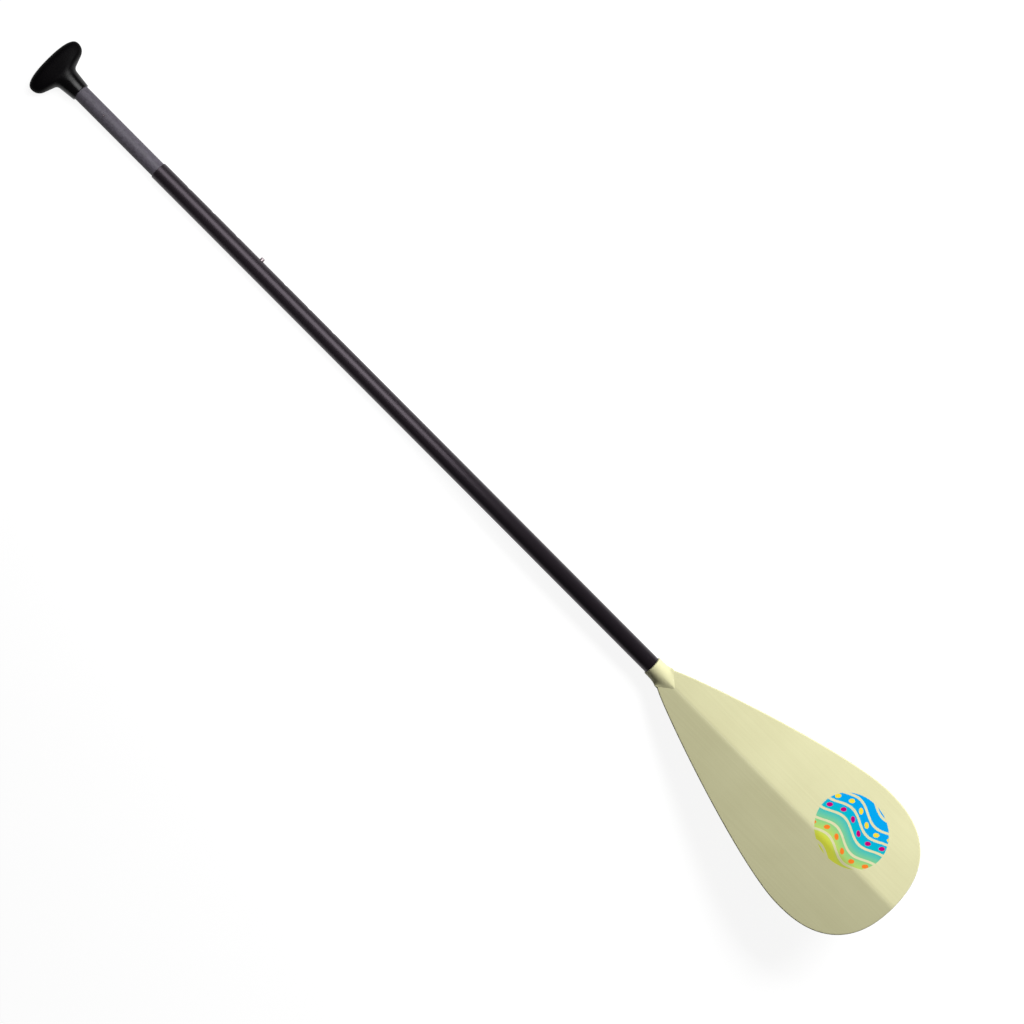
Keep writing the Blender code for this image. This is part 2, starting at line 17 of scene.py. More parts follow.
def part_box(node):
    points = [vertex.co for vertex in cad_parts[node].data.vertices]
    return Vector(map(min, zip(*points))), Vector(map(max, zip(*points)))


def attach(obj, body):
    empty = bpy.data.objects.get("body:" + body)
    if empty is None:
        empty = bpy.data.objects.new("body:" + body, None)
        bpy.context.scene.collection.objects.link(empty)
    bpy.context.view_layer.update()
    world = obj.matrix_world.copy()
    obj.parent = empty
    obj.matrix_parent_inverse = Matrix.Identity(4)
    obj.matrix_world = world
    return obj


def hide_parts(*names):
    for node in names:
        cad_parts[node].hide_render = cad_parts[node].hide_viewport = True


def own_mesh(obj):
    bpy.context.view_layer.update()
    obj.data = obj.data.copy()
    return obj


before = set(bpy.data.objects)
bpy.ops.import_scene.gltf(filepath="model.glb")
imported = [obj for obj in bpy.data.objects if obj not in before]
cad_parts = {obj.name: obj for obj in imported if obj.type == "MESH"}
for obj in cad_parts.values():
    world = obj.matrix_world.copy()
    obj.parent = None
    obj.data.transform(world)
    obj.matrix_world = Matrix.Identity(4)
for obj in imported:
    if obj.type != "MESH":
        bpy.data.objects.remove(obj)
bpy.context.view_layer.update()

# %% [markdown]
# ## Places read from the frame
# The paddle lies along X, with its grip at the low end and the ridged face of its blade up. The
# shaft's axis and radii could be typed in again, but they are read from the boxes of the packed
# pieces, so that nothing here can drift away from the model.

# %% Axis, radii and ends of the shafts
lower_low, lower_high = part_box("lower_shaft")
upper_low, upper_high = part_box("upper_shaft")
grip_low, grip_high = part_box("palm_grip")
button_low, button_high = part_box("snap_button")
pin_low, pin_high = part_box("grip_pin")
spring_low, spring_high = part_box("button_spring")
blade_low, blade_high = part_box("blade")

AXIS_Z = (lower_low.z + lower_high.z) / 2
LOWER_RADIUS = (lower_high.z - lower_low.z) / 2
UPPER_RADIUS = (upper_high.z - upper_low.z) / 2
BUTTON_X = (button_low.x + button_high.x) / 2
PIN_X = (pin_low.x + pin_high.x) / 2
print("Shaft radii", round(LOWER_RADIUS, 5), round(UPPER_RADIUS, 5), "axis height", round(AXIS_Z, 5))

# %% [markdown]
# ## Camera
# The photograph looks down on the paddle from about three metres, a little nearer to the grip, and
# the paddle crosses the picture from corner to corner. The camera could be turned by eye, but here
# its direction comes from two angles: a tilt along the shaft, and a roll that lays the shaft on the
# diagonal. The focal length is the one that gives the photograph's own perspective.

# %% Camera over the paddle
FOCAL_PIXELS = 1950
PICTURE_PIXELS = 1024
SENSOR_WIDTH = 36.0
CAMERA_DISTANCE = 3.0
CAMERA_TILT = radians(5)
CAMERA_ROLL = radians(45.117)
AIM_POINT = Vector((0.0692, 0.0143, AXIS_Z))

along = Vector((cos(CAMERA_TILT), 0, sin(CAMERA_TILT)))
across = Vector((0, 1, 0))
backward = along.cross(across)
right = along * cos(CAMERA_ROLL) + across * sin(CAMERA_ROLL)
up = across * cos(CAMERA_ROLL) - along * sin(CAMERA_ROLL)

camera = bpy.data.objects.new("camera", bpy.data.cameras.new("camera"))
camera.data.sensor_width = SENSOR_WIDTH
camera.data.lens = FOCAL_PIXELS / PICTURE_PIXELS * SENSOR_WIDTH
turn = Matrix((right, up, backward)).transposed().to_4x4()
camera.matrix_world = Matrix.Translation(AIM_POINT + backward * CAMERA_DISTANCE) @ turn
bpy.context.scene.collection.objects.link(camera)
bpy.context.scene.camera = camera
print("The camera stands at", [round(v, 3) for v in camera.location])

# %% [markdown]
# ## Helpers for nodes
# Every finish below is a small tree of nodes, and so are the tubes and the rows of holes. A few
# helpers keep the cells short. Patterns read Object coordinates: each piece sits at the origin with
# its place in its mesh, so a pattern stays fixed to the piece. UV maps could do the same, but a
# turned or lofted piece needs none.

# %% Making and joining nodes
def connect(tree, node, inputs):
    """Fill the inputs of a node, each with a plain value or with the output of another node."""
    for socket, value in inputs.items():
        if isinstance(value, bpy.types.NodeSocket):
            tree.links.new(value, node.inputs[socket])
        else:
            node.inputs[socket].default_value = value


def wired(tree, kind, inputs=(), output=0, **settings):
    """Place a node, fill its inputs, and give back one of its outputs."""
    node = tree.nodes.new(kind)
    for name, value in settings.items():
        setattr(node, name, value)
    connect(tree, node, dict(inputs))
    return node.outputs[output]


# %% Helpers for materials
def shader_node(material, kind, inputs=(), output=0, **settings):
    return wired(material.node_tree, "ShaderNode" + kind, inputs, output, **settings)


def feed(material, **inputs):
    """Set sockets of the shader, each to a plain value or to the output of a node."""
    shader = material.node_tree.nodes["Principled BSDF"]
    connect(material.node_tree, shader, {name.replace("_", " "): inputs[name] for name in inputs})


def new_material(name, **constants):
    """A Principled material whose constant values are set on the shader's own sockets."""
    material = bpy.data.materials.new(name)
    material.use_nodes = True
    feed(material, **constants)
    return material


def maths(material, operation, *values):
    """One Math node. Each value may be a number or the output of another node."""
    return shader_node(material, "Math", enumerate(values), operation=operation)


def distance(material, across, along):
    """Length of a step with two parts at a right angle."""
    square = maths(material, "MULTIPLY", along, along)
    return maths(material, "SQRT", maths(material, "MULTIPLY_ADD", across, across, square))


def between(material, factor, low=0.0, high=1.0, start=0.35, end=0.65):
    """A number that runs from low to high while the factor runs from start to end."""
    limits = {"From Min": start, "From Max": end, "To Min": low, "To Max": high}
    return shader_node(material, "MapRange", {"Value": factor, **limits})


def mix_colours(material, factor, first, second):
    """Two colours mixed by a factor. Each may be three numbers or the output of another node."""
    first, second = ((*value, 1.0) if isinstance(value, tuple) else value for value in (first, second))
    return shader_node(material, "Mix", {0: factor, 6: first, 7: second}, output=2, data_type="RGBA")


# %% Patterns and relief
def object_place(material):
    return shader_node(material, "TexCoord", output="Object")


def parts_of(material, vector):
    """The three parts of a vector as outputs of their own."""
    return shader_node(material, "SeparateXYZ", {0: vector}).node.outputs


def noise(material, scale, detail=3.0, roughness=0.5):
    """A noise in cycles per metre, with one scale for all axes or one for each."""
    scale = scale if isinstance(scale, tuple) else (scale, scale, scale)
    stretched = shader_node(material, "Mapping", {"Vector": object_place(material), "Scale": scale})
    grain = {"Vector": stretched, "Scale": 1.0, "Detail": detail, "Roughness": roughness}
    return shader_node(material, "TexNoise", grain, output="Fac")


def bump(material, height, depth, strength):
    """Small relief: the height runs over a depth in metres."""
    relief = {"Height": height, "Distance": depth, "Strength": strength}
    feed(material, Normal=shader_node(material, "Bump", relief))


# On the blade this edge mask also carries painted light: a paler rim where the rounded edge falls into shade.
def edge_wear_and_painted_light(material, patches, start=0.53, end=0.60):
    """One on sharp outer edges, nought on flats, and broken up by patches of a noise."""
    shape = shader_node(material, "NewGeometry", output="Pointiness")
    edge = between(material, shape, start=start, end=end)
    return maths(material, "MULTIPLY", edge, between(material, patches, low=0.2))


# %% [markdown]
# ## Gloss black shaft
# The lower shaft is an alloy tube with a black coat. The coat is smooth but not a mirror: it has
# the slight orange peel of sprayed paint, and handling leaves faint rub marks along it. The button
# wears the coat off round each hole, and there the bare metal shows. Those places are known, so a
# distance from the row of holes makes the wear, where a painted mask would need an image.

# %% Black coat
BLACK_COAT = (0.0085, 0.0064, 0.0087)
RUBBED_COAT = (0.0105, 0.0082, 0.0105)
BARE_ALLOY = (0.30, 0.29, 0.30)
COAT_SHEEN = (1.0, 0.86, 1.0, 1.0)
HOLE_COUNT = 7
HOLE_SPACING = 0.0508
FIRST_HOLE = 0.0511
HOLE_RADIUS = 0.004
WEAR_WIDTH = 0.0009


def hole_wear(material, patches):
    """One on the edge of each hole of the row, nought a little way off."""
    x, y, z = parts_of(material, object_place(material))
    run = maths(material, "SUBTRACT", x, lower_low.x + FIRST_HOLE)
    from_hole = maths(material, "PINGPONG", run, HOLE_SPACING / 2)
    away = distance(material, from_hole, maths(material, "SUBTRACT", z, AXIS_Z))
    ring = between(material, away, 1.0, 0.0, HOLE_RADIUS, HOLE_RADIUS + WEAR_WIDTH)
    in_row = maths(material, "LESS_THAN", run, (HOLE_COUNT - 0.5) * HOLE_SPACING)
    on_side = maths(material, "GREATER_THAN", y, 0.0)
    place = maths(material, "MULTIPLY", maths(material, "MULTIPLY", in_row, on_side), ring)
    return maths(material, "MULTIPLY", place, between(material, patches))


black_coat = new_material("gloss black coat", Specular_IOR_Level=0.4, Specular_Tint=COAT_SHEEN)
rub_marks = noise(black_coat, scale=(9, 700, 700), detail=4)
chips = noise(black_coat, scale=900)
peel = noise(black_coat, scale=420, detail=2)
coat = mix_colours(black_coat, rub_marks, BLACK_COAT, RUBBED_COAT)
feed(
    black_coat,
    Base_Color=mix_colours(black_coat, hole_wear(black_coat, chips), coat, BARE_ALLOY),
    Roughness=between(black_coat, rub_marks, low=0.34, high=0.39),
)
bump(black_coat, peel, depth=0.00001, strength=0.1)
print("Made", black_coat.name)

# %% [markdown]
# ## Matt grey shaft
# The upper shaft slides, so it has a dull, mottled skin instead of paint. The mottling is two
# grains at once: blotches of a few millimetres, and a fine sparkle. A photograph of the skin
# could be wrapped round the tube, but two noises cost nothing and never repeat. Sliding in and out
# has polished faint lines along it.

# %% Mottled grey skin
DARK_SLATE = (0.051, 0.045, 0.057)
PALE_SLATE = (0.096, 0.087, 0.109)
RUBBED_SLATE = (0.136, 0.126, 0.149)

grey_skin = new_material("mottled grey skin", Specular_IOR_Level=0.35)
blotches = noise(grey_skin, scale=(190, 260, 260), detail=5, roughness=0.65)
sparkle = noise(grey_skin, scale=1500, detail=2)
slide_lines = noise(grey_skin, scale=(4, 1400, 1400), detail=2)
mottle = maths(grey_skin, "MULTIPLY_ADD", sparkle, 0.5, maths(grey_skin, "MULTIPLY", blotches, 0.5))
paleness = between(grey_skin, mottle, start=0.38, end=0.62)
slate = mix_colours(grey_skin, paleness, DARK_SLATE, PALE_SLATE)
rubbed = between(grey_skin, slide_lines, high=0.5, start=0.60, end=0.75)
feed(
    grey_skin,
    Base_Color=mix_colours(grey_skin, rubbed, slate, RUBBED_SLATE),
    Roughness=between(grey_skin, blotches, low=0.50, high=0.62),
)
bump(grey_skin, sparkle, depth=0.00005, strength=0.4)
print("Made", grey_skin.name)

# %% [markdown]
# ## Black moulded grip
# The palm grip is one moulding in hard black plastic. Its head has a dull, fine grain so that the
# palm doesn't slip, and the stem below it is left glossy, which is where the light draws a line.
# Two materials would need a hard border, so one material runs from dull to glossy along X.

# %% Grip plastic
GRIP_BLACK = (0.0011, 0.0009, 0.0012)
GRIP_HANDLED = (0.0026, 0.0021, 0.0028)
GRIP_SCUFF = (0.030, 0.027, 0.030)
STEM_START = {"start": grip_low.x + 0.030, "end": grip_low.x + 0.046}

grip_plastic = new_material("black grip plastic")
handling = noise(grip_plastic, scale=45)
handled = mix_colours(grip_plastic, handling, GRIP_BLACK, GRIP_HANDLED)
along_grip = parts_of(grip_plastic, object_place(grip_plastic))["X"]
dull = between(grip_plastic, along_grip, low=0.24, high=0.0, **STEM_START)
feed(
    grip_plastic,
    Base_Color=mix_colours(grip_plastic, edge_wear_and_painted_light(grip_plastic, handling), handled, GRIP_SCUFF),
    Roughness=maths(grip_plastic, "ADD", dull, between(grip_plastic, handling, low=0.24, high=0.30)),
    Specular_IOR_Level=between(grip_plastic, along_grip, low=0.05, high=0.26, **STEM_START),
)
bump(grip_plastic, noise(grip_plastic, scale=2600, detail=1), depth=0.00001, strength=0.2)
print("Made", grip_plastic.name)

# %% [markdown]
# ## Cream blade plastic
# The blade is moulded in one go with the neck, in a cream plastic with a satin face. The melt runs
# down the blade from the neck, and leaves very faint streaks along it. They are a noise that is
# stretched along X, so each streak is long and narrow. The rim is paler: partly from scuffs of sand
# and stones, and partly as painted light that lightens the rounded rim where it falls into shade.

# %% Cream plastic
CREAM_DEEP = (0.632, 0.614, 0.366)
CREAM_PALE = (0.676, 0.660, 0.402)
# The rim colour is partly scuffing and partly painted light on the shaded rim.
RIM_SCUFF_AND_PAINTED_LIGHT = (0.74, 0.72, 0.50)

cream_plastic = new_material("cream blade plastic", Specular_IOR_Level=0.3)
streaks = noise(cream_plastic, scale=(5, 420, 5), detail=4)
clouds = noise(cream_plastic, scale=14, detail=2)
fine_grain = noise(cream_plastic, scale=1800, detail=1)
streaky_clouds = maths(cream_plastic, "ADD", streaks, clouds)
flow = between(cream_plastic, streaky_clouds, start=0.7, end=1.3)
cream = mix_colours(cream_plastic, flow, CREAM_DEEP, CREAM_PALE)
# Painted light: the paler rim colour partly stands for scuffs and partly lightens the shaded rounded rim.
cream = mix_colours(cream_plastic, edge_wear_and_painted_light(cream_plastic, fine_grain), cream, RIM_SCUFF_AND_PAINTED_LIGHT)
feed(cream_plastic, Roughness=between(cream_plastic, clouds, low=0.42, high=0.50))
bump(cream_plastic, fine_grain, depth=0.00002, strength=0.25)
print("Made", cream_plastic.name)

# %% [markdown]
# ## Print on the blade
# The ridged face carries a bright print near its end: a round field of wavy stripes that run along
# the blade, from sky blue to yellow-green, with rows of small dots. An image would blur when seen
# from close, so a few Math nodes draw it. It has its own UV map, in which the field is a circle of
# radius one, and only the ridged face has a place in that map.

# %% Layout of the print
PRINT_MAP = "print"
PRINT_CENTRE = Vector((0.780, 0.038))
PRINT_HALF_SIZE = Vector((0.060, 0.055))
PRINT_BLUR = 0.01
STRIPE_COUNT = 6
STRIPE_INK = 0.76
WAVE_HEIGHT = 0.13
WAVE_COUNT = 1.4
DOT_GAP = 0.34
DOT_RADIUS = 0.075
INK_STOPS = (
    (0.10, (0.62, 0.66, 0.06)),
    (0.32, (0.22, 0.56, 0.22)),
    (0.52, (0.00, 0.44, 0.50)),
    (0.75, (0.00, 0.33, 0.74)),
)
DOT_INKS = ((-0.50, (0.85, 0.20, 0.02)), (0.17, (0.50, 0.00, 0.16)), (0.50, (0.80, 0.62, 0.04)))


# %% Nodes of the print
def within(material, value, limit):
    """One below a limit and nought above it, with a narrow run between the two."""
    return between(material, value, 1.0, 0.0, limit - PRINT_BLUR, limit)


def ink_ramp(material, share):
    """The ink of the stripes, from yellow-green at nought to sky blue at one."""
    ink = shader_node(material, "ValToRGB", {"Fac": share})
    stops = ink.node.color_ramp.elements
    while len(stops) < len(INK_STOPS):
        stops.new(0.5)
    for stop, (place, colour) in zip(stops, INK_STOPS):
        stop.position = place
        stop.color = (*colour, 1.0)
    return ink


def print_over(material, under):
    """The stripes and dots of the print over a colour that's already there."""
    u, v, _ = parts_of(material, shader_node(material, "UVMap", uv_map=PRINT_MAP))
    field = within(material, distance(material, u, v), 1.0)
    wave = maths(material, "SINE", maths(material, "MULTIPLY", u, pi * WAVE_COUNT))
    level = maths(material, "MULTIPLY_ADD", wave, WAVE_HEIGHT, v)
    share = maths(material, "MULTIPLY_ADD", level, 0.5, 0.5)
    from_gap = maths(material, "PINGPONG", maths(material, "MULTIPLY", share, STRIPE_COUNT), 0.5)
    bare = (1 - STRIPE_INK) / 2
    inked = between(material, from_gap, start=bare - 2 * PRINT_BLUR, end=bare)
    ink_here = maths(material, "MULTIPLY", field, inked)
    colour = mix_colours(material, ink_here, under, ink_ramp(material, share))
    for place, ink in DOT_INKS:
        beside = maths(material, "PINGPONG", maths(material, "ADD", u, place), DOT_GAP / 2)
        above = maths(material, "SUBTRACT", level, place)
        dot = within(material, distance(material, beside, above), DOT_RADIUS)
        colour = mix_colours(material, maths(material, "MULTIPLY", field, dot), colour, ink)
    return colour


feed(cream_plastic, Base_Color=print_over(cream_plastic, cream))
print("The print is", [round(2 * side, 3) for side in PRINT_HALF_SIZE], "metres")

# %% [markdown]
# ## Bare metal and the hidden finishes
# The button, its spring and the pin are small and bright. Turned metal shows rings and a bent strip
# shows drawn lines, both of them very fine, and edges are rubbed brighter. The seals, the plug and
# the float sit inside the tubes, where nothing shows, but each has its own finish for whoever takes
# the paddle apart. All six are a fine grain in two close tones, so one function makes them.

# %% Finishes with a grain and rubbed edges
ROUGHNESS_RUN = 0.1


def worn_finish(name, tones, rubbed, roughness, grain, relief, detail=3, strength=0.5, metallic=0):
    """A fine grain in two close tones, with its own relief, and another tone on the edges."""
    material = new_material(name, Metallic=metallic)
    grains = noise(material, scale=grain, detail=detail)
    tone = mix_colours(material, grains, *tones)
    feed(
        material,
        Base_Color=mix_colours(material, edge_wear_and_painted_light(material, grains), tone, rubbed),
        Roughness=between(material, grains, roughness, roughness + ROUGHNESS_RUN),
    )
    bump(material, grains, depth=relief, strength=strength)
    print("Made", name)
    return material


def grey(value):
    return (value, value, value)


# %% Metals
TURNED = ((0.40, 0.34, 0.36), (0.52, 0.46, 0.48))
DULL = ((0.12, 0.10, 0.12), (0.18, 0.15, 0.17))
ROLLED = ((0.42, 0.42, 0.44), (0.55, 0.55, 0.57))
POLISHED = (0.62, 0.60, 0.60)
PIN_EDGES = (0.24, 0.20, 0.23)
METAL = {"relief": 0.00001, "detail": 4, "strength": 0.3, "metallic": 1}

button_metal = worn_finish("button metal", TURNED, POLISHED, 0.30, grain=(3000, 300, 3000), **METAL)
pin_metal = worn_finish("pin metal", DULL, PIN_EDGES, 0.40, grain=(2500, 2500, 300), **METAL)
spring_steel = worn_finish("spring steel", ROLLED, POLISHED, 0.32, grain=(60, 2500, 2500), **METAL)

# %% Rubber, nylon and foam
RUBBER = (grey(0.012), grey(0.022))
NYLON = (grey(0.010), grey(0.018))
FOAM = ((0.66, 0.66, 0.63), (0.76, 0.76, 0.74))

seal_rubber = worn_finish("seal rubber", RUBBER, grey(0.033), 0.70, grain=300, relief=0.00005)
black_nylon = worn_finish("black nylon", NYLON, grey(0.027), 0.45, grain=900, relief=0.00002)
float_foam = worn_finish("float foam", FOAM, FOAM[0], 0.85, grain=450, relief=0.0002)

# %% [markdown]
# ## Helpers for meshes
# Most pieces here are skins over a row of sections: a circle that changes its radius, or an oval
# that changes its shape. One function joins any such sections with faces, and another turns the
# result into an object that sits at the origin.

# %% Mesh helpers
SHARP_ANGLE = radians(32)


def angles_round(sides):
    return [2 * pi * i / sides for i in range(sides)]


def skin(rings):
    """A mesh that joins closed rings of points in order, with a flat cap on both ends."""
    mesh = bmesh.new()
    loops = [[mesh.verts.new(point) for point in ring] for ring in rings]
    for near, far in zip(loops, loops[1:]):
        for i in range(len(near)):
            j = (i + 1) % len(near)
            mesh.faces.new((near[i], near[j], far[j], far[i]))
    mesh.faces.new(reversed(loops[0]))
    mesh.faces.new(loops[-1])
    return mesh


def make_piece(name, mesh, material):
    """An object at the origin, with outward faces, smooth where it is round."""
    bmesh.ops.recalc_face_normals(mesh, faces=mesh.faces[:])
    data = bpy.data.meshes.new(name)
    mesh.to_mesh(data)
    mesh.free()
    data.shade_smooth()
    data.set_sharp_from_angle(angle=SHARP_ANGLE)
    data.materials.append(material)
    piece = bpy.data.objects.new(name, data)
    bpy.context.scene.collection.objects.link(piece)
    return piece


def bake_modifiers(piece):
    """Turn what the modifiers make into the piece's own plain mesh."""
    shown = piece.evaluated_get(bpy.context.evaluated_depsgraph_get())
    piece.data = bpy.data.meshes.new_from_object(shown)
    piece.modifiers.clear()
    print(piece.name, "has", len(piece.data.polygons), "faces")


# %% [markdown]
# ## Tubes and drilled holes as node trees
# Both shafts are tubes, and one has a row of seven holes at equal steps. A tube is a ring whose
# section is a long thin rectangle, so the first tree sweeps a rounded rectangle round a circle.
# The second tree stands drills along a line and cuts them from whatever comes in. A Boolean
# modifier for each hole would do the same, but a tree has the number and the spacing as inputs.

# %% Helpers for geometry trees
def new_tree(name, **inputs):
    """A geometry node tree whose inputs are given as name and kind, and those inputs as outputs."""
    tree = bpy.data.node_groups.new(name, "GeometryNodeTree")
    for title, kind in inputs.items():
        tree.interface.new_socket(title.replace("_", " "), in_out="INPUT", socket_type="NodeSocket" + kind)
    tree.interface.new_socket("Geometry", in_out="OUTPUT", socket_type="NodeSocketGeometry")
    return tree, tree.nodes.new("NodeGroupInput").outputs


def multiply_add(tree, value, factor, addend):
    return wired(tree, "ShaderNodeMath", {0: value, 1: factor, 2: addend}, operation="MULTIPLY_ADD")


def finish_tree(tree, geometry, material):
    """Every tree ends in real geometry with its material set."""
    real = wired(tree, "GeometryNodeRealizeInstances", {"Geometry": geometry})
    painted = wired(tree, "GeometryNodeSetMaterial", {"Geometry": real, "Material": material})
    connect(tree, tree.nodes.new("NodeGroupOutput"), {"Geometry": painted})
    return tree


def grow(piece, tree, **inputs):
    """Put a tree on a piece and set its inputs by their identifiers."""
    modifier = piece.modifiers.new(tree.name, "NODES")
    modifier.node_group = tree
    identifiers = {item.name: item.identifier for item in tree.interface.items_tree if item.in_out == "INPUT"}
    for name, value in inputs.items():
        modifier[identifiers[name.replace("_", " ")]] = value


# %% Tree for a tube
CORNER_STEPS = 4
TUBE_SIZES = {"Start": "Float", "Length": "Float", "Radius": "Float", "Wall": "Float", "End_Round": "Float"}


def make_tube_tree():
    tree, given = new_tree("tube", **TUBE_SIZES, Height="Float", Sides="Int", Material="Material")
    wall_radius = multiply_add(tree, given["Wall"], -0.5, given["Radius"])
    circle = {"Resolution": given["Sides"], "Radius": wall_radius}
    path = wired(tree, "GeometryNodeCurvePrimitiveCircle", circle)
    oblong = {"Width": given["Wall"], "Height": given["Length"]}
    section = wired(tree, "GeometryNodeCurvePrimitiveQuadrilateral", oblong)
    corners = {"Curve": section, "Radius": given["End Round"], "Count": CORNER_STEPS}
    rounded = wired(tree, "GeometryNodeFilletCurve", corners, mode="POLY")
    swept = wired(tree, "GeometryNodeCurveToMesh", {"Curve": path, "Profile Curve": rounded})
    middle_x = multiply_add(tree, given["Length"], 0.5, given["Start"])
    spot = wired(tree, "ShaderNodeCombineXYZ", {"X": middle_x, "Z": given["Height"]})
    laid_down = {"Geometry": swept, "Translation": spot, "Rotation": (0, pi / 2, 0)}
    return finish_tree(tree, wired(tree, "GeometryNodeTransform", laid_down), given["Material"])


tube_tree = make_tube_tree()


# %% Tree for a row of drilled holes
DRILL_SIDES = 64
ROW_SIZES = {"First": "Vector", "Spacing": "Float", "Count": "Int", "Hole_Radius": "Float", "Depth": "Float"}


def make_drill_tree():
    kinds = {"Geometry": "Geometry", **ROW_SIZES, "Turn": "Rotation", "Material": "Material"}
    tree, given = new_tree("row of holes", **kinds)
    cylinder = {"Vertices": DRILL_SIDES, "Radius": given["Hole Radius"], "Depth": given["Depth"]}
    drill = wired(tree, "GeometryNodeMeshCylinder", cylinder)
    step = wired(tree, "ShaderNodeCombineXYZ", {"X": given["Spacing"]})
    line = {"Count": given["Count"], "Start Location": given["First"], "Offset": step}
    row = wired(tree, "GeometryNodeMeshLine", line)
    stands = {"Points": row, "Instance": drill, "Rotation": given["Turn"]}
    drills = wired(tree, "GeometryNodeInstanceOnPoints", stands)
    real = wired(tree, "GeometryNodeRealizeInstances", {"Geometry": drills})
    meshes = {"Mesh 1": given["Geometry"], "Mesh 2": real}
    cut = wired(tree, "GeometryNodeMeshBoolean", meshes, operation="DIFFERENCE", solver="EXACT")
    return finish_tree(tree, cut, given["Material"])


drill_tree = make_drill_tree()
print("Trees:", tube_tree.name, "and", drill_tree.name)


# %% Tubes and holes on pieces
TUBE_WALL = 0.0013
END_ROUND = 0.0004
TUBE_SIDES = 192
TOWARD_Y = (-pi / 2, 0, 0)
TOWARD_Z = (0, 0, 0)


def make_tube(name, low, high, material):
    """A tube that fills the box of a packed one, which has these two corners."""
    tube = make_piece(name, bmesh.new(), material)
    place = {"Start": low.x, "Length": high.x - low.x, "Height": AXIS_Z, "Radius": (high.z - low.z) / 2}
    grow(tube, tube_tree, Wall=TUBE_WALL, End_Round=END_ROUND, Sides=TUBE_SIDES, Material=material, **place)
    return tube


def drill(piece, first, radius, depth, turn, spacing=0.0, count=1):
    """Cut a row of holes whose walls get the finish of the piece."""
    row = {"First": first, "Spacing": spacing, "Count": count, "Hole_Radius": radius, "Depth": depth}
    grow(piece, drill_tree, Turn=turn, Material=piece.data.materials[0], **row)


# %% [markdown]
# ## Smooth light on a drilled tube
# A cut leaves long thin faces beside each hole, and their own normals would show as streaks in the
# gloss. A tube's true normal is known: it points straight away from the axis. So every corner on
# the round walls gets that normal, and every other corner keeps its face's own.

# %% Normals from the axis
WALL_FACING = 0.985


def round_normals(piece):
    """Corners on the round walls point away from the axis, outside or inside the tube."""
    data = piece.data
    data.shade_smooth()
    normals = [None] * len(data.loops)
    for face in data.polygons:
        for corner in face.loop_indices:
            point = data.vertices[data.loops[corner].vertex_index].co
            outward = Vector((0, point.y, point.z - AXIS_Z)).normalized()
            facing = face.normal.dot(outward)
            if abs(facing) > WALL_FACING:
                normals[corner] = outward if facing > 0 else -outward
            else:
                normals[corner] = face.normal.copy()
    data.normals_split_custom_set(normals)


# %% [markdown]
# ## Lower shaft
# The lower shaft is the tube that shows seven holes on one side, two inches apart. The hand finds
# them on the edge of the paddle, so they face sideways and show in the picture as small notches.

# %% Lower shaft
lower_shaft = make_tube("lower_shaft_tube", lower_low, lower_high, black_coat)
first_hole = (lower_low.x + FIRST_HOLE, LOWER_RADIUS, AXIS_Z)
drill(lower_shaft, first_hole, HOLE_RADIUS, LOWER_RADIUS, TOWARD_Y, HOLE_SPACING, HOLE_COUNT)
bake_modifiers(lower_shaft)
round_normals(lower_shaft)
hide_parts("lower_shaft")
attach(lower_shaft, "lower_paddle")

# %% [markdown]
# ## Upper shaft
# The upper shaft slides in the lower one. It has one hole for the button on the same side, and one
# on top for the pin that holds the grip. The same two trees make it, with other numbers.

# %% Upper shaft
PIN_HOLE_RADIUS = 0.0018
PIN_HOLE = (PIN_X, 0, AXIS_Z + UPPER_RADIUS)

upper_shaft = make_tube("upper_shaft_tube", upper_low, upper_high, grey_skin)
drill(upper_shaft, (BUTTON_X, UPPER_RADIUS, AXIS_Z), HOLE_RADIUS, UPPER_RADIUS, TOWARD_Y)
drill(upper_shaft, PIN_HOLE, PIN_HOLE_RADIUS, UPPER_RADIUS, TOWARD_Z)
bake_modifiers(upper_shaft)
round_normals(upper_shaft)
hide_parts("upper_shaft")
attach(upper_shaft, "upper_paddle")

# %% [markdown]
# ## Palm grip
# The grip is a T for the palm: a wide crown, two round lobes, and a stem that narrows to the shaft.
# It could be sculpted, but a lathe hand would describe it by its outline, so that is what the code
# does. At each depth below the crown it draws one section, nearly oblong in the head and round at
# the shaft, and the corner under each lobe is eased with a short curve.

# %% Outline of the grip
GRIP_WIDTH = grip_high.y - grip_low.y
GRIP_HEIGHT = 0.0680
GRIP_CROWN = 0.0155
GRIP_LOBE_RADIUS = 0.0145
GRIP_UNDERSIDE_ANGLE = radians(20)
GRIP_STEM_WIDTH = 0.0372
GRIP_RIM_STEP = 0.0023
GRIP_SECTION_POWER = 2.6
GRIP_EASE = 0.006
GRIP_RIM_ROUND = 0.0006
CROWN_STEPS = 28
LOBE_STEPS = 16
EASE_STEPS = 12
STEM_STEPS = 6
LIP_STEPS = 4
GRIP_BACK = AXIS_Z
GRIP_RIM = UPPER_RADIUS + GRIP_RIM_STEP


def bend(start, corner, end, steps):
    """Points on a short curve that takes the place of a corner."""
    shares = [i / steps for i in range(steps + 1)]
    return [start * (1 - t) ** 2 + corner * 2 * t * (1 - t) + end * t * t for t in shares]


